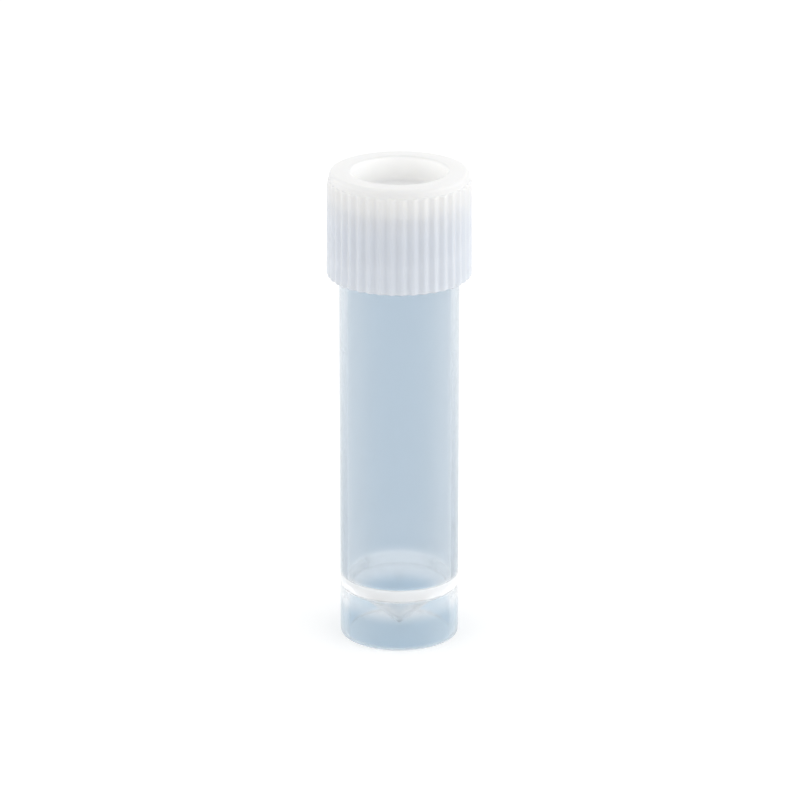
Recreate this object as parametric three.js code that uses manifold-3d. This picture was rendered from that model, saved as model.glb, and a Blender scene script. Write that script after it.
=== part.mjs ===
// A self-standing 2 mL screw-cap cryovial: a straight tube with a conical floor above an open skirt,
// a ribbed screw cap with a round recess in its top, and the seal ring that the cap carries.
// Millimetres, +Z up. The origin is the centre of the foot, on the surface the vial stands on.
import * as THREE from 'three';
import { mergeVertices } from 'three/addons/utils/BufferGeometryUtils.js';
import Module from 'manifold-3d';

const wasm = await Module();
wasm.setup();

// Tube
const TUBE_RADIUS = 5.4; // outside of the barrel and the skirt
const TUBE_HEIGHT = 40.0; // foot to rim
const BARREL_WALL = 0.7;
const SKIRT_WALL = 0.7;
const FOOT_OUTER_ROUND = 0.2;
const FOOT_INNER_ROUND = 0.12;

// Conical floor, apex down, hung inside the skirt
const SKIRT_DEPTH = 4.75; // foot to where the cone's underside meets the skirt
const CONE_HALF_ANGLE = THREE.MathUtils.degToRad(49); // between the cone's side and its axis
const CONE_WALL = 0.72; // square to the cone's side
const CONE_TIP_ROUND = 0.2; // underside
const CONE_WELL_ROUND = 0.5; // inside, where the last drop gathers
const CONE_ROOT_ROUND = 0.15; // where the cone meets the walls, above and below

// Neck
const NECK_WALL = 0.55; // at the root of the screw thread
const NECK_LENGTH = 5.1; // shoulder to rim
const SHOULDER_SLOPE = 0.2; // height of the chamfer from barrel to neck
const RIM_ROUND = 0.16;

// Screw closure between neck and cap
const THREAD_DEPTH = 0.35; // how far the thread stands off its wall
const THREAD_CLEARANCE = 0.12; // between a thread's crest and the wall it faces

// Seal ring, a round-section ring on the rim
const SEAL_SECTION_RADIUS = 0.45;
const SEAL_CLEARANCE = 0.05; // to the rim, the cap's plate, its collar and its plug

// Cap
const CAP_HEIGHT = 9.65; // open end to top
const CAP_WALL = 0.58; // between the bore and the grooves, at the open end
const CAP_DRAFT = THREE.MathUtils.degToRad(0.45); // the sides lean in towards the top
const CAP_EDGE_ROUND = 0.4; // top outer edge
const CAP_LIP_CHAMFER = 0.12; // open end, outside
const CAP_LEAD_IN = 0.25; // open end, inside
const COLLAR_HEIGHT = 0.8; // smooth band above the ribs
const RIB_COUNT = 40;
const RIB_HEIGHT = 0.2; // groove to crest
const RIB_END_HEIGHT = 0.3; // over which a rib's top end rounds off
const RECESS_RADIUS = 4.3;
const RECESS_DEPTH = 2.2;
const RECESS_EDGE_ROUND = 0.25;
const RECESS_FLOOR_ROUND = 0.3;
const PLATE_THICKNESS = 0.8; // between the recess and the inside
const SEAT_HEIGHT = 1.6; // collar that centres the seal ring, below the plate
const PLUG_WALL = 0.6; // ring that hangs from the plate into the mouth
const PLUG_LENGTH = 1.5;
const PLUG_END_ROUND = 0.18;

// Facets
const TUBE_SEGMENTS = 64;
const BORE_SEGMENTS = 64;
const SEAL_SEGMENTS = 48;
const SEAL_SECTION_STEPS = 10;
const RIB_STEPS = 6; // facets across one rib
const ARC_STEPS = 3; // facets on a rounded edge
const OVERRUN = 1; // how far a cutter runs past the face it opens

// Sizes that follow from those above
const boreRadius = TUBE_RADIUS - BARREL_WALL;
const skirtBoreRadius = TUBE_RADIUS - SKIRT_WALL;
const neckRadius = boreRadius + NECK_WALL;
const shoulderZ = TUBE_HEIGHT - NECK_LENGTH;
const sealRadius = boreRadius + NECK_WALL / 2;
const sealZ = TUBE_HEIGHT + SEAL_CLEARANCE + SEAL_SECTION_RADIUS;
const plateZ = sealZ + SEAL_SECTION_RADIUS + SEAL_CLEARANCE;
const recessZ = plateZ + PLATE_THICKNESS;
const capTopZ = recessZ + RECESS_DEPTH;
const capBaseZ = capTopZ - CAP_HEIGHT;
const capBoreRadius = neckRadius + THREAD_DEPTH + THREAD_CLEARANCE;
const capGrooveRadius = capBoreRadius + CAP_WALL;
const seatRadius = sealRadius + SEAL_SECTION_RADIUS + SEAL_CLEARANCE;
const plugRadius = sealRadius - SEAL_SECTION_RADIUS - SEAL_CLEARANCE;

const at = (r, z) => new THREE.Vector2(r, z);

// The points of a corner rounded to a radius, tangent to the lines to its two neighbours. The radius
// is held to half of the shorter line.
function roundedCorner(before, corner, after, radius) {
  const toBefore = before.clone().sub(corner);
  const toAfter = after.clone().sub(corner);
  const half = Math.acos(toBefore.dot(toAfter) / toBefore.length() / toAfter.length()) / 2;
  const room = Math.min(toBefore.length(), toAfter.length()) / 2;
  const reach = Math.min(radius / Math.tan(half), room);
  const start = corner.clone().add(toBefore.setLength(reach));
  const end = corner.clone().add(toAfter.setLength(reach));
  const outward = corner.clone().sub(start).add(corner.clone().sub(end)).normalize();
  const centre = corner.clone().addScaledVector(outward, -reach / Math.cos(half));
  const from = start.clone().sub(centre).angle();
  let turn = end.clone().sub(centre).angle() - from;
  if (turn > Math.PI) turn -= 2 * Math.PI;
  if (turn < -Math.PI) turn += 2 * Math.PI;
  const arcRadius = start.distanceTo(centre);
  return Array.from({ length: ARC_STEPS + 1 }, (_, i) => {
    const angle = from + (turn * i) / ARC_STEPS;
    return at(centre.x + arcRadius * Math.cos(angle), centre.y + arcRadius * Math.sin(angle));
  });
}

// A profile from corners given as [radius, height, rounding]. The ends stay as they are.
function profile(corners) {
  const points = corners.map(([r, z]) => at(r, z));
  return points.flatMap((point, i) => {
    const rounding = corners[i][2];
    if (!rounding) return [point];
    return roundedCorner(points[i - 1], point, points[i + 1], rounding);
  });
}

// A cone's tip rounded by a ball, from the axis outwards, ending where the straight side starts.
function roundedTip(apexZ, radius) {
  const centreZ = apexZ + radius / Math.sin(CONE_HALF_ANGLE);
  const sweep = Math.PI / 2 - CONE_HALF_ANGLE;
  return Array.from({ length: ARC_STEPS + 1 }, (_, i) => {
    const angle = (sweep * i) / ARC_STEPS;
    return at(radius * Math.sin(angle), centreZ - radius * Math.cos(angle));
  });
}

// A closed surface of revolution about Z. three.js turns a profile about Y, so it is stood up.
function revolve(points, segments) {
  return new THREE.LatheGeometry(points, segments).rotateX(Math.PI / 2);
}

function toSolid(geometry) {
  const bare = geometry.clone();
  bare.deleteAttribute('normal');
  bare.deleteAttribute('uv');
  const merged = mergeVertices(bare, 1e-4);
  const corners = merged.index.array;
  const kept = [];
  for (let i = 0; i < corners.length; i += 3) {
    const [a, b, c] = corners.slice(i, i + 3);
    if (a !== b && b !== c && c !== a) kept.push(a, b, c);
  }
  const mesh = new wasm.Mesh({
    numProp: 3,
    vertProperties: merged.attributes.position.array,
    triVerts: new Uint32Array(kept),
  });
  return new wasm.Manifold(mesh);
}

function toGeometry(solid) {
  const mesh = solid.getMesh();
  const geometry = new THREE.BufferGeometry();
  geometry.setAttribute('position', new THREE.BufferAttribute(mesh.vertProperties, 3));
  geometry.setIndex(new THREE.BufferAttribute(mesh.triVerts, 1));
  geometry.computeVertexNormals();
  return geometry;
}

// One moulding: well, bore, rim, neck, barrel, foot, skirt and the cone's underside.
function tubeGeometry() {
  const slope = Math.tan(CONE_HALF_ANGLE);
  const undersideApexZ = SKIRT_DEPTH - skirtBoreRadius / slope;
  const wellApexZ = undersideApexZ + CONE_WALL / Math.sin(CONE_HALF_ANGLE);
  const well = roundedTip(wellApexZ, CONE_WELL_ROUND);
  const tip = roundedTip(undersideApexZ, CONE_TIP_ROUND).reverse();
  const wellEnd = well.at(-1);
  const tipStart = tip[0];
  const walls = profile([
    [wellEnd.x, wellEnd.y, 0],
    [boreRadius, wellApexZ + boreRadius / slope, CONE_ROOT_ROUND],
    [boreRadius, TUBE_HEIGHT, RIM_ROUND],
    [neckRadius, TUBE_HEIGHT, RIM_ROUND],
    [neckRadius, shoulderZ, 0],
    [TUBE_RADIUS, shoulderZ - SHOULDER_SLOPE, 0],
    [TUBE_RADIUS, 0, FOOT_OUTER_ROUND],
    [skirtBoreRadius, 0, FOOT_INNER_ROUND],
    [skirtBoreRadius, SKIRT_DEPTH, CONE_ROOT_ROUND],
    [tipStart.x, tipStart.y, 0],
  ]);
  const outline = [...well.slice(0, -1), ...walls, ...tip.slice(1)];
  return toGeometry(toSolid(revolve(outline.reverse(), TUBE_SEGMENTS)));
}

function sealGeometry() {
  const section = Array.from({ length: SEAL_SECTION_STEPS + 1 }, (_, i) => {
    const angle = (2 * Math.PI * (i % SEAL_SECTION_STEPS)) / SEAL_SECTION_STEPS;
    const r = sealRadius + SEAL_SECTION_RADIUS * Math.cos(angle);
    return at(r, sealZ + SEAL_SECTION_RADIUS * Math.sin(angle));
  });
  return toGeometry(toSolid(revolve(section, SEAL_SEGMENTS)));
}

// How far a rib stands out, from 0 in its round groove to 1 on its round crest.
function ribShape(angle) {
  return (1 + Math.cos(RIB_COUNT * angle)) / 2;
}

// The cap's outside as rings of points, from the open end to the top: [height, radius, rib share].
function capRings() {
  const lean = Math.tan(CAP_DRAFT);
  const grooveRadius = (z) => capGrooveRadius - (z - capBaseZ) * lean;
  const ribTopZ = capTopZ - COLLAR_HEIGHT;
  const rings = [
    [capBaseZ, grooveRadius(capBaseZ) - CAP_LIP_CHAMFER, 1],
    [capBaseZ + CAP_LIP_CHAMFER, grooveRadius(capBaseZ + CAP_LIP_CHAMFER), 1],
  ];
  for (let i = 0; i <= ARC_STEPS; i++) {
    const angle = (Math.PI / 2) * (i / ARC_STEPS);
    const z = ribTopZ - RIB_END_HEIGHT * (1 - Math.sin(angle));
    rings.push([z, grooveRadius(z), Math.cos(angle)]);
  }
  const edgeZ = capTopZ - CAP_EDGE_ROUND;
  for (let i = 0; i <= ARC_STEPS; i++) {
    const angle = (Math.PI / 2) * (i / ARC_STEPS);
    const radius = grooveRadius(edgeZ) - CAP_EDGE_ROUND * (1 - Math.cos(angle));
    rings.push([edgeZ + CAP_EDGE_ROUND * Math.sin(angle), radius, 0]);
  }
  return rings;
}

// A solid through rings of points, closed at both ends by a fan about the axis.
function ribbedBody() {
  const rings = capRings();
  const around = RIB_COUNT * RIB_STEPS;
  const positions = [];
  for (const [z, radius, share] of rings) {
    for (let j = 0; j < around; j++) {
      const angle = (2 * Math.PI * j) / around;
      const r = radius + RIB_HEIGHT * share * ribShape(angle);
      positions.push(r * Math.cos(angle), r * Math.sin(angle), z);
    }
  }
  const bottom = rings.length * around;
  const top = bottom + 1;
  positions.push(0, 0, rings[0][0], 0, 0, rings.at(-1)[0]);
  const indices = [];
  for (let j = 0; j < around; j++) {
    const next = (j + 1) % around;
    for (let i = 0; i + 1 < rings.length; i++) {
      const low = i * around;
      const high = low + around;
      indices.push(low + j, low + next, high + next, low + j, high + next, high + j);
    }
    const last = (rings.length - 1) * around;
    indices.push(bottom, next, j, top, last + j, last + next);
  }
  const geometry = new THREE.BufferGeometry();
  geometry.setAttribute('position', new THREE.Float32BufferAttribute(positions, 3));
  geometry.setIndex(indices);
  return geometry;
}

// What is hollow under the plate: the lead-in, the bore that takes the thread, the seal's seat and
// the inside of the plug.
function capBoreGeometry() {
  const mouthRadius = capBoreRadius + CAP_LEAD_IN;
  const seatZ = plateZ - SEAT_HEIGHT;
  const plugZ = plateZ - PLUG_LENGTH;
  const outline = profile([
    [0, capBaseZ - OVERRUN, 0],
    [mouthRadius, capBaseZ - OVERRUN, 0],
    [mouthRadius, capBaseZ, 0],
    [capBoreRadius, capBaseZ + CAP_LEAD_IN, 0],
    [capBoreRadius, seatZ - (capBoreRadius - seatRadius), 0],
    [seatRadius, seatZ, 0],
    [seatRadius, plateZ, 0],
    [plugRadius, plateZ, 0],
    [plugRadius, plugZ, PLUG_END_ROUND],
    [plugRadius - PLUG_WALL, plugZ, PLUG_END_ROUND],
    [plugRadius - PLUG_WALL, plateZ, 0],
    [0, plateZ, 0],
  ]);
  return revolve(outline, BORE_SEGMENTS);
}

function capRecessGeometry() {
  const flare = RECESS_RADIUS + RECESS_EDGE_ROUND;
  const brim = [];
  for (let i = 0; i <= ARC_STEPS; i++) {
    const angle = (Math.PI / 2) * (i / ARC_STEPS);
    const z = capTopZ - RECESS_EDGE_ROUND * (1 - Math.sin(angle));
    brim.push([flare - RECESS_EDGE_ROUND * Math.cos(angle), z, 0]);
  }
  const outline = profile([
    [0, recessZ, 0],
    [RECESS_RADIUS, recessZ, RECESS_FLOOR_ROUND],
    ...brim,
    [flare, capTopZ + OVERRUN, 0],
    [0, capTopZ + OVERRUN, 0],
  ]);
  return revolve(outline, BORE_SEGMENTS);
}

function capGeometry() {
  const body = toSolid(ribbedBody());
  const hollowed = body.subtract(toSolid(capBoreGeometry()));
  return toGeometry(hollowed.subtract(toSolid(capRecessGeometry())));
}

function named(name, geometry, material) {
  const mesh = new THREE.Mesh(geometry, material);
  mesh.name = name;
  return mesh;
}

const naturalPolypropylene = new THREE.MeshStandardMaterial({
  color: 0xc3d2dc,
  roughness: 0.28,
  metalness: 0,
  transparent: true,
  opacity: 0.55,
});
const whitePolypropylene = new THREE.MeshStandardMaterial({
  color: 0xe9edf0,
  roughness: 0.38,
  metalness: 0,
});
const silicone = new THREE.MeshStandardMaterial({
  color: 0xdfe3e2,
  roughness: 0.55,
  metalness: 0,
});

const vial = new THREE.Group();
vial.name = 'vial';
vial.add(named('tube', tubeGeometry(), naturalPolypropylene));
const closure = new THREE.Group();
closure.name = 'closure';
closure.add(named('cap', capGeometry(), whitePolypropylene));
closure.add(named('seal_ring', sealGeometry(), silicone));
vial.add(closure);

export default vial;
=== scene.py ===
# Looks of the screw-cap cryovial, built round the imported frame. Metres, +Z up.
import math

import bmesh
import bpy
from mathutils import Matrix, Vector


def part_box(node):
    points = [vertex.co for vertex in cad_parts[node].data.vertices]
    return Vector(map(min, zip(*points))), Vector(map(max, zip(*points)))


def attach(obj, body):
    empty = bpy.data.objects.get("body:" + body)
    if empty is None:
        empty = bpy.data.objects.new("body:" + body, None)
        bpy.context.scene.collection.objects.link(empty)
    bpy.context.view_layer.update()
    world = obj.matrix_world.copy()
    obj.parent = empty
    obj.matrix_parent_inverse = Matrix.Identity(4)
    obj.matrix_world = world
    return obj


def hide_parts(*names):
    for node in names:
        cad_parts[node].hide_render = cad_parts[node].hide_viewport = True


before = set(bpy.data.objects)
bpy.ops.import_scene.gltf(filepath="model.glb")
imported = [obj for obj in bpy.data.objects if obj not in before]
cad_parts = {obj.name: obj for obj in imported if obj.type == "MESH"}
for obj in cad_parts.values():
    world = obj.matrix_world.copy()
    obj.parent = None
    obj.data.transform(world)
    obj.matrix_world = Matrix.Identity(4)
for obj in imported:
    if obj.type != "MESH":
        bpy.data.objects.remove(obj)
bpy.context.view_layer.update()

MM = 0.001
TURN = 2 * math.pi

# ---- Sizes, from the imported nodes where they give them
tube_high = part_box("tube")[1]
cap_low, cap_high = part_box("cap")
seal_low, seal_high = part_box("seal_ring")

TUBE_RADIUS = tube_high.x
TUBE_HEIGHT = tube_high.z
BARREL_WALL = 0.7 * MM
SKIRT_WALL = 0.7 * MM
SKIRT_DEPTH = 4.75 * MM
CONE_HALF_ANGLE = math.radians(49)
CONE_WALL = 0.72 * MM
CONE_TIP_ROUND = 0.2 * MM
CONE_WELL_ROUND = 0.5 * MM
CONE_ROOT_ROUND = 0.15 * MM
FOOT_OUTER_ROUND = 0.2 * MM
FOOT_INNER_ROUND = 0.12 * MM
NECK_WALL = 0.55 * MM
NECK_LENGTH = 5.1 * MM
SHOULDER_SLOPE = 0.2 * MM
SHOULDER_ROUND = 0.06 * MM
RIM_ROUND = 0.16 * MM

THREAD_PITCH = 2.5 * MM
THREAD_DEPTH = 0.35 * MM
THREAD_CLEARANCE = 0.12 * MM
THREAD_ROOT_WIDTH = 1.0 * MM
THREAD_CREST_WIDTH = 0.5 * MM
THREAD_TURNS = 1.35
THREAD_TAPER = 0.12  # turns over which a thread's ends run out
THREAD_START = 1.15 * MM  # shoulder to the lower end of the neck's thread

SEAL_SECTION_RADIUS = 0.45 * MM
SEAL_CLEARANCE = 0.05 * MM

CAP_BASE = cap_low.z
CAP_TOP = cap_high.z
CAP_DRAFT = math.radians(0.45)
CAP_EDGE_ROUND = 0.4 * MM
CAP_LIP_CHAMFER = 0.12 * MM
CAP_LIP_ROUND = CAP_LIP_CHAMFER / 3
CAP_LEAD_IN = 0.25 * MM
COLLAR_HEIGHT = 0.8 * MM
RIB_COUNT = 40
RIB_HEIGHT = 0.2 * MM
RIB_END_HEIGHT = 0.3 * MM
RECESS_RADIUS = 4.3 * MM
RECESS_DEPTH = 2.2 * MM
RECESS_EDGE_ROUND = 0.25 * MM
RECESS_FLOOR_ROUND = 0.3 * MM
PLATE_THICKNESS = 0.8 * MM
SEAT_HEIGHT = 1.6 * MM
PLUG_WALL = 0.6 * MM
PLUG_LENGTH = 1.5 * MM
PLUG_END_ROUND = 0.18 * MM

bore_radius = TUBE_RADIUS - BARREL_WALL
skirt_bore_radius = TUBE_RADIUS - SKIRT_WALL
neck_radius = bore_radius + NECK_WALL
shoulder_z = TUBE_HEIGHT - NECK_LENGTH
cap_bore_radius = neck_radius + THREAD_DEPTH + THREAD_CLEARANCE
cap_groove_radius = cap_high.y - RIB_HEIGHT
rib_top = CAP_TOP - COLLAR_HEIGHT
cone_rise = (skirt_bore_radius - bore_radius) / math.tan(CONE_HALF_ANGLE)
cone_root_z = SKIRT_DEPTH + CONE_WALL / math.sin(CONE_HALF_ANGLE) - cone_rise
recess_z = CAP_TOP - RECESS_DEPTH
plate_z = recess_z - PLATE_THICKNESS
seal_radius = seal_high.x - SEAL_SECTION_RADIUS
seal_z = (seal_low.z + seal_high.z) / 2
seat_radius = seal_radius + SEAL_SECTION_RADIUS + SEAL_CLEARANCE
plug_radius = seal_radius - SEAL_SECTION_RADIUS - SEAL_CLEARANCE

# ---- Facets
TUBE_SEGMENTS = 256
SEAL_SEGMENTS = 32  # round the seal ring's section
RIB_STEPS = 12  # round each rib and its groove
FILLET_STEPS = 6
THREAD_STEP = 0.1 * MM  # along a threaded wall
LOOK_STEP = 0.1 * MM  # along the tube's section, where its look changes
TINT_STEP = 0.5 * MM  # along the cap's ribs
GUARD = 0.04 * MM  # a ring this far beside a fillet keeps the flat next to it flat
ON_AXIS = 1e-9  # a point no further out than this lies on the axis

# ---- Tints, with painted light and painted shade in them, and where along the section they change
CLEAR = (0.99, 0.995, 1.0)
BARREL_TINT = (0.645, 0.718, 0.782)
WALL_PALENESS = 0.5  # painted light: how far the barrel's tint fades to clear just above the band, so the cone seen through it looks lighter
WALL_PALE_TO = 6.5 * MM  # height where that fading ends, and where the section's short steps end
# painted shade: the skirt's deeper tint stands for the shaded floor inside it, seen through its wall;
# painted light pales it again from SKIRT_PALE_FROM to SKIRT_PALE_TO and below FOOT_PALE_TO
SKIRT_PAINTED_SHADE = (0.54, 0.665, 0.765)
SKIRT_PALE_FROM = 2.2 * MM
SKIRT_PALE_TO = 4.0 * MM
ROOT_REACH = 0.35 * MM  # painted light: how far round the cone's root the bore has less tint
FOOT_PALE_TO = 0.3 * MM
# painted light: the recess is painted near white for the light from its own walls, and the flat top ring
# is painted lighter than the cap's side
RECESS_PAINTED_LIGHT = (0.98, 0.98, 0.97)
TOP_PAINTED_LIGHT = (0.81, 0.81, 0.8)
THICK_WHITE = (0.73, 0.73, 0.725)
# painted shade: the cap's white is made darker and bluer on the thin wall below the plate, for the dark
# inside that shows through it; CAP_THIN_BELOW and CAP_THICK_ABOVE bound it
THIN_WALL_PAINTED_SHADE = (0.7, 0.738, 0.795)
CAP_THIN_BELOW = 38.8 * MM
CAP_THICK_ABOVE = 43.0 * MM

# ---- Milk is the share of light that a surface of the tube scatters
MILK_WHITE = (0.875, 0.892, 0.905)
MILK_PALENESS = 1.5  # the tint turns to that white this much faster than the milk grows
# partly painted light: the band is the solid ring's milky plastic, and its white also stands for light
# gathered in that ring
BAND_MILK_AND_PAINTED_LIGHT = 0.85
BAND_LOW = 4.78 * MM
BAND_HIGH = 5.9 * MM
BAND_FADE = 0.2 * MM  # centred on each edge of the band
FOOT_MILK = 0.5
FOOT_REACH = 0.35 * MM
CONE_UNDER_MILK = 0.3

# ---- Haze is the share in which a point of the tube shows what a slant does to it. Layer Weight
# gives the slant: 0 is square on and 1 is edge on.
ROOT_HAZE_REACH = 3.0 * MM  # round the cone's root, for the surfaces inside
ROOT_HAZE_NARROWING = 1.5  # how much shorter it reaches towards the axis
GRAZING_MILK = 0.19  # the least milk of a surface met from outside at a slant
GRAZING_FULL = 0.36  # the slant from which that holds in full
TRAPPED_ROUGHNESS = 0.9  # of a surface met from inside: it lets out light caught in a wall
TRAPPED_FROM = 0.24  # the slant from which light is caught
TRAPPED_FULL = 0.27

# ---- Surfaces. Patches and grain are in cells a metre, and roughness goes from one value to the other.
NOISE_LOW = 0.3  # noise mostly lies between these
NOISE_HIGH = 0.7
NATURAL_ROUGHNESS = (0.1, 0.14)
NATURAL_PATCHES = 260
NATURAL_GRAIN = 1500
NATURAL_RELIEF = 0.001 * MM
WHITE_ROUGHNESS = (0.33, 0.43)
WHITE_PATCHES = 300
WHITE_GRAIN = 6000
WHITE_RELIEF = 0.003 * MM
SILICONE_ROUGHNESS = (0.42, 0.58)
SILICONE_PATCHES = 900
SILICONE_GRAIN = 7000
SILICONE_RELIEF = 0.004 * MM
POLYPROPYLENE_IOR = 1.49
SILICONE_IOR = 1.41

# ---- Camera, at the photograph's viewing angle
CAMERA_DISTANCE = 390.1 * MM
CAMERA_ELEVATION = math.radians(19.88)
CAMERA_TURN = math.radians(2.6)
CAMERA_LENS = 194.4
SENSOR_WIDTH = 36
AIM_HEIGHT = 22.33 * MM  # of the point that the camera and the lamps face
AIM_ASIDE = 0.06 * MM

# ---- Stage and light
WORLD_LIGHT = 0.84  # the world is this bright to matt surfaces, and white to what looks at it
FLOOR_MATT = 0.78  # how much of the light on it the floor gives back
FLOOR_GLOW = 0.33  # added for what looks at it
FLOOR_SIZE = 3.0
LAMP_DISTANCE = 0.5
LAMP_ELEVATION = math.radians(8)
LAMP_WIDTH = 1.0
LAMP_HEIGHT = 0.3
KEY_AZIMUTH = math.radians(74)  # from the camera's side to the right
KEY_WATTS = 2.1
FILL_AZIMUTH = math.radians(-86)
FILL_WATTS = 1.4


# ---- Profiles: points (r, z) in the half-plane, from the axis round the section and back to the axis
def arc_angles(sweep):
    return [sweep * i / FILLET_STEPS for i in range(FILLET_STEPS + 1)]


def fillet(before, corner, after, radius):
    """The points of a rounded corner, with a guard point on the flats at either side."""
    to_before = before - corner
    to_after = after - corner
    half = to_before.angle(to_after) / 2
    room = min(to_before.length, to_after.length) / 2
    reach = min(radius / math.tan(half), room)
    start = corner + to_before.normalized() * reach
    end = corner + to_after.normalized() * reach
    centre = corner + (start + end - 2 * corner).normalized() * reach / math.cos(half)
    arm = start - centre
    first = math.atan2(arm.y, arm.x)
    arm = end - centre
    sweep = (math.atan2(arm.y, arm.x) - first + math.pi) % TURN - math.pi
    points = []
    for angle in arc_angles(sweep):
        direction = Vector((math.cos(first + angle), math.sin(first + angle)))
        points.append(centre + direction * arm.length)
    guard = min(GUARD, (room - reach) / 2)
    if guard > 0:
        points.insert(0, start + to_before.normalized() * guard)
        points.append(end + to_after.normalized() * guard)
    return points


def rounded(corners):
    """A profile from corners given as (r, z, rounding). The ends stay as they are."""
    points = [Vector((r, z)) for r, z, _ in corners]
    path = []
    for i, (point, corner) in enumerate(zip(points, corners)):
        if corner[2]:
            path += fillet(points[i - 1], point, points[i + 1], corner[2])
        else:
            path.append(point)
    return path


def ball_tip(apex_z, radius):
    """A cone's tip rounded by a ball, from the axis outwards to where the straight side starts."""
    centre_z = apex_z + radius / math.sin(CONE_HALF_ANGLE)
    points = []
    for angle in arc_angles(math.pi / 2 - CONE_HALF_ANGLE):
        points.append(Vector((radius * math.sin(angle), centre_z - radius * math.cos(angle))))
    return points


def stepped(points, step):
    """The same path with no stretch longer than a step."""
    path = [points[0]]
    for before, after in zip(points, points[1:]):
        count = max(1, math.ceil((after - before).length / step))
        path += [before.lerp(after, i / count) for i in range(1, count + 1)]
    return path


def graded(points, below_z):
    """The same path with short steps below a height, where the look changes along it."""
    low = [point for point in points if point.y < below_z + GUARD]
    high = [point for point in points if point.y >= below_z + GUARD]
    steps = stepped(low, LOOK_STEP)
    return high + steps if points[0].y > points[-1].y else steps + high


# ---- Reliefs: what is added to a profile's radius at an angle and z
def smooth(x):
    x = min(max(x, 0.0), 1.0)
    return x * x * (3 - 2 * x)


def plain(_angle, _z):
    return 0.0


def thread(start_z, height):
    """A right-hand screw ridge, as a height over its wall. It runs out at both ends."""
    def relief(angle, z):
        best = 0.0
        for lap in range(math.ceil(THREAD_TURNS)):
            along = angle / TURN + lap
            if along > THREAD_TURNS:
                continue
            away = abs(z - start_z - THREAD_PITCH * along)
            flank = (THREAD_ROOT_WIDTH / 2 - away) / ((THREAD_ROOT_WIDTH - THREAD_CREST_WIDTH) / 2)
            runout = min(along, THREAD_TURNS - along) / THREAD_TAPER
            best = max(best, smooth(flank) * smooth(runout))
        return best * height
    return relief


def ribs(angle, z):
    """The cap's grip ribs, with round crests and grooves. Each is rounded off below the collar."""
    into_end = (z - (rib_top - RIB_END_HEIGHT)) / RIB_END_HEIGHT
    share = math.sqrt(max(0.0, 1 - max(0.0, into_end) ** 2))
    return RIB_HEIGHT * share * (1 + math.cos(RIB_COUNT * angle)) / 2


# ---- Looks: haze, milk and tint at a point of the section; the tints hold painted light and painted shade
def mixed(first, second, share):
    return tuple(a + (b - a) * share for a, b in zip(first, second))


def root_haze(point):
    """Full at the cone's root, where light is caught in the walls, and less further off. The bore has
    no points between WALL_PALE_TO and the rim, so from there up it thins out evenly."""
    away = math.hypot(ROOT_HAZE_NARROWING * (point.x - bore_radius), point.y - cone_root_z)
    return smooth(1 - away / ROOT_HAZE_REACH)


def skirt_painted_light_and_shade(z):
    """Painted shade: the skirt deepens below the cone, for the shaded floor seen through it. Painted
    light pales it again up towards the band and at the very foot.
    """
    pale = smooth((z - SKIRT_PALE_FROM) / (SKIRT_PALE_TO - SKIRT_PALE_FROM))
    foot = smooth(1 - z / FOOT_PALE_TO)
    return mixed(SKIRT_PAINTED_SHADE, CLEAR, max(pale, foot))


def bore_look(point):
    """The inside of the barrel, tinted, and the well, which is painted clear as painted light, as is the
    clearer bore round the cone's root.
    """
    root = smooth(1 - (point - Vector((bore_radius, cone_root_z))).length / ROOT_REACH)
    cone = smooth((bore_radius - point.x) / CONE_ROOT_ROUND)
    return root_haze(point), 0.0, mixed(BARREL_TINT, CLEAR, max(root, cone))


def neck_look(_point):
    return 1.0, 0.0, BARREL_TINT


def barrel_look(point):
    """The outside. The solid ring at the cone's root shows through it as a white band, painted on the
    outer wall: partly the ring's milky plastic, partly painted light gathered in that ring.
    """
    above = smooth((point.y - BAND_LOW) / BAND_FADE + 0.5)
    below = smooth((BAND_HIGH - point.y) / BAND_FADE + 0.5)
    foot = smooth(1 - point.y / FOOT_REACH)
    near = smooth((WALL_PALE_TO - point.y) / (WALL_PALE_TO - BAND_HIGH))
    tint = mixed(BARREL_TINT, CLEAR, WALL_PALENESS * near)
    tint = mixed(tint, skirt_painted_light_and_shade(point.y), below)
    return 1.0, max(BAND_MILK_AND_PAINTED_LIGHT * above * below, FOOT_MILK * foot), tint


def skirt_look(point):
    """The skirt's inside, and the cone's underside, which is clear but a little milky."""
    cone = smooth((skirt_bore_radius - point.x) / CONE_ROOT_ROUND)
    return root_haze(point), CONE_UNDER_MILK * cone, mixed(skirt_painted_light_and_shade(point.y), CLEAR, cone)


def recess_look(point):
    """Painted light: the recess is painted whiter than the ring round it, for the light from its own
    walls, and the flat top ring is painted lighter than the cap's side.
    """
    depth = smooth((CAP_TOP - point.y) / RECESS_EDGE_ROUND)
    inside = point.x < RECESS_RADIUS + RECESS_EDGE_ROUND
    return 0.0, 0.0, mixed(TOP_PAINTED_LIGHT, RECESS_PAINTED_LIGHT if inside else THICK_WHITE, depth)


def cap_look(point):
    """Pale and neutral where the recess and its plate back the cap's wall. Below, a painted shade makes
    it darker and bluer where it is thin, for the dark inside that shows through.
    """
    thick = smooth((point.y - CAP_THIN_BELOW) / (CAP_THICK_ABOVE - CAP_THIN_BELOW))
    return 0.0, 0.0, mixed(THIN_WALL_PAINTED_SHADE, THICK_WHITE, thick)


# ---- Pieces
def as_piece(name, mesh):
    bmesh.ops.recalc_face_normals(mesh, faces=mesh.faces)
    data = bpy.data.meshes.new(name)
    mesh.to_mesh(data)
    mesh.free()
    data.shade_smooth()
    piece = bpy.data.objects.new(name, data)
    bpy.context.scene.collection.objects.link(piece)
    return piece


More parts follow.
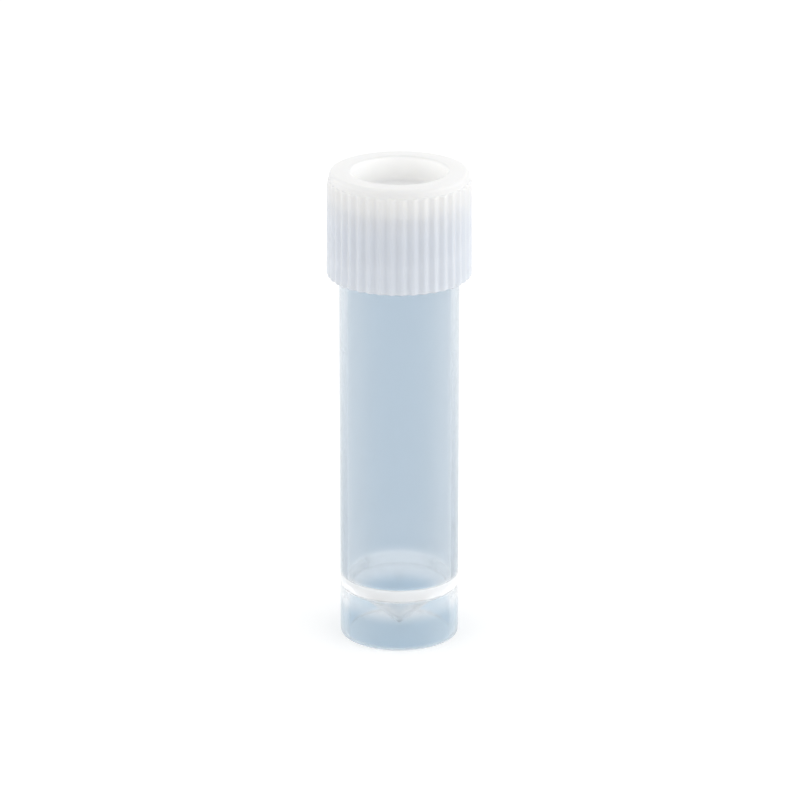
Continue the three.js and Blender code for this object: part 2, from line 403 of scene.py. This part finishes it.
def turned(name, sections, segments):
    """A closed body turned about Z from sections of (points, relief, look). Both ends lie on the axis."""
    mesh = bmesh.new()
    hazy_layer = mesh.verts.layers.float.new("hazy")
    milk_layer = mesh.verts.layers.float.new("milk")
    tint_layer = mesh.verts.layers.float_color.new("tint")
    rings = []
    for points, relief, look in sections:
        for point in points:
            hazy, milk, tint = look(point)
            ring = []
            for j in range(segments if point.x > ON_AXIS else 1):
                angle = TURN * j / segments
                r = point.x + relief(angle, point.y)
                vertex = mesh.verts.new((r * math.cos(angle), r * math.sin(angle), point.y))
                vertex[hazy_layer] = hazy
                vertex[milk_layer] = milk
                vertex[tint_layer] = (*tint, 1)
                ring.append(vertex)
            rings.append(ring)
    for low, high in zip(rings, rings[1:]):
        join_rings(mesh, low, high, segments)
    return as_piece(name, mesh)


def join_rings(mesh, low, high, segments):
    """Faces between two rings. A ring on the axis is one vertex, which its faces name once."""
    for j in range(segments):
        k = (j + 1) % segments
        corners = [low[j % len(low)], low[k % len(low)], high[k % len(high)], high[j % len(high)]]
        mesh.faces.new(dict.fromkeys(corners))


def tube_inside(neck_top_z):
    """The well and the bore, over the rim and down to the neck's top."""
    well = ball_tip(cone_root_z - bore_radius / math.tan(CONE_HALF_ANGLE), CONE_WELL_ROUND)
    return well[:-1] + rounded([
        (*well[-1], 0),
        (bore_radius, cone_root_z, CONE_ROOT_ROUND),
        (bore_radius, WALL_PALE_TO, 0),
        (bore_radius, TUBE_HEIGHT, RIM_ROUND),
        (neck_radius, TUBE_HEIGHT, RIM_ROUND),
        (neck_radius, neck_top_z, 0),
    ])


def tube_outside():
    """The foot of the neck, the shoulder, the barrel and the foot."""
    return rounded([
        (neck_radius, shoulder_z + 1.5 * SHOULDER_ROUND, 0),
        (neck_radius, shoulder_z, SHOULDER_ROUND),
        (TUBE_RADIUS, shoulder_z - SHOULDER_SLOPE, SHOULDER_ROUND),
        (TUBE_RADIUS, WALL_PALE_TO, 0),
        (TUBE_RADIUS, 0, FOOT_OUTER_ROUND),
        (skirt_bore_radius + FOOT_INNER_ROUND + GUARD, 0, 0),
    ])


def tube_underside():
    """The inside of the skirt and the underside of the cone."""
    apex_z = SKIRT_DEPTH - skirt_bore_radius / math.tan(CONE_HALF_ANGLE)
    tip = ball_tip(apex_z, CONE_TIP_ROUND)[::-1]
    return rounded([
        (skirt_bore_radius + FOOT_INNER_ROUND + GUARD / 2, 0, 0),
        (skirt_bore_radius, 0, FOOT_INNER_ROUND),
        (skirt_bore_radius, SKIRT_DEPTH, CONE_ROOT_ROUND),
        (*tip[0], 0),
    ]) + tip[1:]


def make_tube():
    neck_top_z = TUBE_HEIGHT - 2 * RIM_ROUND
    neck_low_z = shoulder_z + 2 * SHOULDER_ROUND
    neck = stepped([
        Vector((neck_radius, neck_top_z - THREAD_STEP)),
        Vector((neck_radius, neck_low_z)),
    ], THREAD_STEP)
    neck_thread = thread(shoulder_z + THREAD_START, THREAD_DEPTH)
    sections = [
        (graded(tube_inside(neck_top_z), WALL_PALE_TO), plain, bore_look),
        (neck, neck_thread, neck_look),
        (graded(tube_outside(), WALL_PALE_TO), plain, barrel_look),
        (graded(tube_underside(), WALL_PALE_TO), plain, skirt_look),
    ]
    return turned("vial_tube", sections, TUBE_SEGMENTS)


def groove_at(z):
    """The point of the cap's drafted outside at a height, at the bottom of a groove."""
    return Vector((cap_groove_radius - (z - CAP_BASE) * math.tan(CAP_DRAFT), z))


def cap_top():
    """The recess, its rounded brim, the flat ring and the collar."""
    brim_radius = RECESS_RADIUS + RECESS_EDGE_ROUND
    collar_radius = groove_at(CAP_TOP - CAP_EDGE_ROUND).x
    top = rounded([
        (0, recess_z, 0),
        (RECESS_RADIUS, recess_z, RECESS_FLOOR_ROUND),
        (RECESS_RADIUS, CAP_TOP - RECESS_EDGE_ROUND - GUARD, 0),
    ])
    for angle in arc_angles(math.pi / 2):
        r = brim_radius - RECESS_EDGE_ROUND * math.cos(angle)
        z = CAP_TOP - RECESS_EDGE_ROUND * (1 - math.sin(angle))
        top.append(Vector((r, z)))
    return top + rounded([
        (brim_radius + GUARD, CAP_TOP, 0),
        (collar_radius, CAP_TOP, CAP_EDGE_ROUND),
        (*groove_at(rib_top + GUARD), 0),
    ])


def cap_grip():
    """The ribbed outside, from below the collar round the chamfered lip."""
    rib_ends = []
    for angle in arc_angles(math.pi / 2):
        rib_ends.append(groove_at(rib_top - RIB_END_HEIGHT * (1 - math.cos(angle))))
    return stepped(rib_ends + rounded([
        (*groove_at(rib_top - RIB_END_HEIGHT - GUARD), 0),
        (*groove_at(CAP_BASE + CAP_LIP_CHAMFER), CAP_LIP_ROUND),
        (cap_groove_radius - CAP_LIP_CHAMFER, CAP_BASE, CAP_LIP_ROUND),
        (cap_groove_radius - 2 * CAP_LIP_CHAMFER, CAP_BASE, 0),
    ]), TINT_STEP)


def cap_mouth():
    """The flat end and the lead-in to the bore."""
    mouth_radius = cap_bore_radius + CAP_LEAD_IN
    return rounded([
        (mouth_radius + GUARD, CAP_BASE, 0),
        (mouth_radius, CAP_BASE, GUARD),
        (cap_bore_radius, CAP_BASE + CAP_LEAD_IN, GUARD),
        (cap_bore_radius, CAP_BASE + CAP_LEAD_IN + 2 * GUARD, 0),
    ])


def cap_inside(seat_z, step_z):
    """The step to the seal's seat, the plug ring and the plate."""
    plug_bore_radius = plug_radius - PLUG_WALL
    plug_z = plate_z - PLUG_LENGTH
    return rounded([
        (cap_bore_radius, step_z - GUARD, 0),
        (cap_bore_radius, step_z, GUARD),
        (seat_radius, seat_z, GUARD),
        (seat_radius, plate_z, GUARD),
        (plug_radius, plate_z, GUARD),
        (plug_radius, plug_z, PLUG_END_ROUND),
        (plug_bore_radius, plug_z, PLUG_END_ROUND),
        (plug_bore_radius, plate_z, GUARD),
        (0, plate_z, 0),
    ])


def make_cap():
    seat_z = plate_z - SEAT_HEIGHT
    step_z = seat_z - (cap_bore_radius - seat_radius)
    bore = stepped([
        Vector((cap_bore_radius, CAP_BASE + CAP_LEAD_IN + 3 * GUARD)),
        Vector((cap_bore_radius, step_z - 2 * GUARD)),
    ], THREAD_STEP)
    cap_thread = thread(shoulder_z + THREAD_START - THREAD_PITCH / 2, -THREAD_DEPTH)
    sections = [
        (cap_top(), plain, recess_look),
        (cap_grip(), ribs, cap_look),
        (cap_mouth(), plain, cap_look),
        (bore, cap_thread, cap_look),
        (cap_inside(seat_z, step_z), plain, cap_look),
    ]
    return turned("vial_cap", sections, RIB_COUNT * RIB_STEPS)


def make_seal():
    mesh = bmesh.new()
    rings = []
    for j in range(TUBE_SEGMENTS):
        angle = TURN * j / TUBE_SEGMENTS
        ring = []
        for i in range(SEAL_SEGMENTS):
            turn = TURN * i / SEAL_SEGMENTS
            r = seal_radius + SEAL_SECTION_RADIUS * math.cos(turn)
            z = seal_z + SEAL_SECTION_RADIUS * math.sin(turn)
            ring.append(mesh.verts.new((r * math.cos(angle), r * math.sin(angle), z)))
        rings.append(ring)
    for here, there in zip(rings, rings[1:] + rings[:1]):
        for i in range(SEAL_SEGMENTS):
            k = (i + 1) % SEAL_SEGMENTS
            mesh.faces.new((here[i], there[i], there[k], here[k]))
    return as_piece("vial_seal", mesh)


# ---- Shader nodes
def maths(tree, operation, *values):
    node = tree.nodes.new("ShaderNodeMath")
    node.operation = operation
    for socket, value in zip(node.inputs, values):
        if isinstance(value, float):
            socket.default_value = value
        else:
            tree.links.new(value, socket)
    return node.outputs[0]


def painted(tree, name, output):
    """A number or a colour stored in the mesh's points."""
    attribute = tree.nodes.new("ShaderNodeAttribute")
    attribute.attribute_name = name
    return attribute.outputs[output]


def ranged(tree, value, low, high, from_low, from_high, way="LINEAR"):
    """A value brought from one range to another."""
    reach = tree.nodes.new("ShaderNodeMapRange")
    reach.interpolation_type = way
    reach.inputs["From Min"].default_value = from_low
    reach.inputs["From Max"].default_value = from_high
    reach.inputs["To Min"].default_value = low
    reach.inputs["To Max"].default_value = high
    tree.links.new(value, reach.inputs["Value"])
    return reach.outputs["Result"]


def noise(tree, scale, detail=3.0):
    """Noise in the piece's own coordinates."""
    place = tree.nodes.new("ShaderNodeTexCoord")
    pattern = tree.nodes.new("ShaderNodeTexNoise")
    pattern.inputs["Scale"].default_value = scale
    pattern.inputs["Detail"].default_value = detail
    tree.links.new(place.outputs["Object"], pattern.inputs["Vector"])
    return pattern.outputs["Fac"]


def patchy(tree, scale, low, high):
    """A value that drifts between two others over the surface."""
    return ranged(tree, noise(tree, scale), low, high, NOISE_LOW, NOISE_HIGH)


def bumped(tree, shader, height, distance):
    bump = tree.nodes.new("ShaderNodeBump")
    bump.inputs["Distance"].default_value = distance
    tree.links.new(height, bump.inputs["Height"])
    tree.links.new(bump.outputs["Normal"], shader.inputs["Normal"])


def blended(tree, share, first, second):
    """From a linked colour to a fixed one."""
    mix = tree.nodes.new("ShaderNodeMix")
    mix.data_type = "RGBA"
    tree.links.new(first, mix.inputs["A"])
    mix.inputs["B"].default_value = (*second, 1)
    tree.links.new(share, mix.inputs["Factor"])
    return mix.outputs["Result"]


def looked_at(tree):
    """1 for a ray from the camera, a mirror or glass, and 0 for a ray from a matt surface."""
    path = tree.nodes.new("ShaderNodeLightPath")
    total = path.outputs["Is Camera Ray"]
    for kind in ("Is Glossy Ray", "Is Transmission Ray"):
        total = maths(tree, "MAXIMUM", total, path.outputs[kind])
    return total


def principled(name, **sockets):
    material = bpy.data.materials.new(name)
    material.use_nodes = True
    shader = material.node_tree.nodes["Principled BSDF"]
    for socket, value in sockets.items():
        shader.inputs[socket.replace("_", " ")].default_value = value
    return material, material.node_tree, shader


# ---- Materials
def natural_polypropylene():
    """Clear plastic with a little milk in it, which tells where light meets a wall at a slant."""
    material, tree, shader = principled("natural_polypropylene", IOR=POLYPROPYLENE_IOR)
    facing = tree.nodes.new("ShaderNodeLayerWeight").outputs["Facing"]
    backfacing = tree.nodes.new("ShaderNodeNewGeometry").outputs["Backfacing"]
    hazy = painted(tree, "hazy", "Fac")

    grazing = ranged(tree, facing, 0.0, GRAZING_MILK, 0.0, GRAZING_FULL, "SMOOTHSTEP")
    milky = maths(tree, "MAXIMUM", maths(tree, "MULTIPLY", grazing, hazy), painted(tree, "milk", "Fac"))
    scattered = maths(tree, "MULTIPLY", milky, maths(tree, "SUBTRACT", 1.0, backfacing))
    tree.links.new(maths(tree, "SUBTRACT", 1.0, scattered), shader.inputs["Transmission Weight"])

    paleness = maths(tree, "MINIMUM", maths(tree, "MULTIPLY", scattered, MILK_PALENESS), 1.0)
    # the tint holds painted shade in the skirt and painted light round the cone's root
    tint = blended(tree, paleness, painted(tree, "tint", "Color"), MILK_WHITE)
    tree.links.new(tint, shader.inputs["Base Color"])

    trapped = ranged(tree, facing, 0.0, TRAPPED_ROUGHNESS, TRAPPED_FROM, TRAPPED_FULL, "SMOOTHSTEP")
    trapped = maths(tree, "MULTIPLY", maths(tree, "MULTIPLY", trapped, hazy), backfacing)
    roughness = maths(tree, "MAXIMUM", patchy(tree, NATURAL_PATCHES, *NATURAL_ROUGHNESS), trapped)
    tree.links.new(roughness, shader.inputs["Roughness"])
    bumped(tree, shader, noise(tree, NATURAL_GRAIN, detail=2.0), NATURAL_RELIEF)
    return material


def white_polypropylene():
    """Satin white plastic that lets some light through."""
    material, tree, shader = principled(
        "white_polypropylene",
        Subsurface_Weight=0.35,
        Subsurface_Radius=(1.2, 1.1, 0.9),
        Subsurface_Scale=8.0 * MM,
        Sheen_Weight=0.6,
        Sheen_Roughness=0.5,
        IOR=POLYPROPYLENE_IOR,
    )
    # the tint holds painted light on the top and in the recess, and painted shade on the thin wall
    tree.links.new(painted(tree, "tint", "Color"), shader.inputs["Base Color"])
    tree.links.new(patchy(tree, WHITE_PATCHES, *WHITE_ROUGHNESS), shader.inputs["Roughness"])
    bumped(tree, shader, noise(tree, WHITE_GRAIN), WHITE_RELIEF)
    return material


def silicone():
    """Pale, matt rubber."""
    material, tree, shader = principled(
        "silicone",
        Base_Color=(0.8, 0.82, 0.81, 1),
        Subsurface_Weight=0.5,
        Subsurface_Scale=0.4 * MM,
        IOR=SILICONE_IOR,
    )
    tree.links.new(patchy(tree, SILICONE_PATCHES, *SILICONE_ROUGHNESS), shader.inputs["Roughness"])
    bumped(tree, shader, noise(tree, SILICONE_GRAIN, detail=2.0), SILICONE_RELIEF)
    return material


def stage_material(name, seen, bounced):
    """White to what looks at it directly, by mirror or through glass, and a matt grey to other light."""
    material = bpy.data.materials.new(name)
    material.use_nodes = True
    tree = material.node_tree
    tree.nodes.clear()
    matt = tree.nodes.new("ShaderNodeBsdfDiffuse")
    matt.inputs["Color"].default_value = (bounced, bounced, bounced, 1)
    glow = tree.nodes.new("ShaderNodeEmission")
    tree.links.new(maths(tree, "MULTIPLY", looked_at(tree), seen), glow.inputs["Strength"])
    both = tree.nodes.new("ShaderNodeAddShader")
    tree.links.new(matt.outputs[0], both.inputs[0])
    tree.links.new(glow.outputs[0], both.inputs[1])
    output = tree.nodes.new("ShaderNodeOutputMaterial")
    tree.links.new(both.outputs[0], output.inputs["Surface"])
    return material


# ---- Camera, stage and lamps
def make_camera():
    back = Vector((
        -math.sin(CAMERA_TURN) * math.cos(CAMERA_ELEVATION),
        -math.cos(CAMERA_TURN) * math.cos(CAMERA_ELEVATION),
        math.sin(CAMERA_ELEVATION),
    ))
    data = bpy.data.cameras.new("camera")
    data.lens = CAMERA_LENS
    data.sensor_width = SENSOR_WIDTH
    camera = bpy.data.objects.new("camera", data)
    aside = Vector((0, 0, 1)).cross(back).normalized() * AIM_ASIDE
    camera.location = Vector((0, 0, AIM_HEIGHT)) + aside + back * CAMERA_DISTANCE
    camera.rotation_euler = back.to_track_quat("Z", "Y").to_euler()
    bpy.context.scene.collection.objects.link(camera)
    bpy.context.scene.camera = camera


def make_floor():
    mesh = bpy.data.meshes.new("floor")
    half = FLOOR_SIZE / 2
    corners = [(-half, -half, 0), (half, -half, 0), (half, half, 0), (-half, half, 0)]
    mesh.from_pydata(corners, [], [(0, 1, 2, 3)])
    floor = bpy.data.objects.new("floor", mesh)
    mesh.materials.append(stage_material("floor", FLOOR_GLOW, FLOOR_MATT))
    bpy.context.scene.collection.objects.link(floor)


def make_world():
    world = bpy.data.worlds.new("studio")
    world.use_nodes = True
    tree = world.node_tree
    background = tree.nodes["Background"]
    background.inputs["Color"].default_value = (1, 1, 1, 1)
    strength = ranged(tree, looked_at(tree), WORLD_LIGHT, 1.0, 0.0, 1.0)
    tree.links.new(strength, background.inputs["Strength"])
    bpy.context.scene.world = world


def make_softbox(name, azimuth, watts):
    """A wide soft lamp that faces the vial from the side, out of the camera's sight."""
    data = bpy.data.lights.new(name, "AREA")
    data.shape = "RECTANGLE"
    data.size = LAMP_WIDTH
    data.size_y = LAMP_HEIGHT
    data.energy = watts
    lamp = bpy.data.objects.new(name, data)
    towards = Vector((
        math.sin(azimuth) * math.cos(LAMP_ELEVATION),
        -math.cos(azimuth) * math.cos(LAMP_ELEVATION),
        math.sin(LAMP_ELEVATION),
    ))
    lamp.location = Vector((0, 0, AIM_HEIGHT)) + towards * LAMP_DISTANCE
    lamp.rotation_euler = towards.to_track_quat("Z", "Y").to_euler()
    lamp.visible_camera = False
    bpy.context.scene.collection.objects.link(lamp)


def fit(piece, material, node, body):
    """Gives a piece its material, and its place in the frame."""
    piece.data.materials.append(material)
    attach(piece, body)
    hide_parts(node)


make_camera()
make_floor()
make_world()
make_softbox("key_right", KEY_AZIMUTH, KEY_WATTS)
make_softbox("fill_left", FILL_AZIMUTH, FILL_WATTS)
bpy.context.scene.view_settings.view_transform = "Standard"

fit(make_tube(), natural_polypropylene(), "tube", "tube")
fit(make_cap(), white_polypropylene(), "cap", "cap")
fit(make_seal(), silicone(), "seal_ring", "seal")
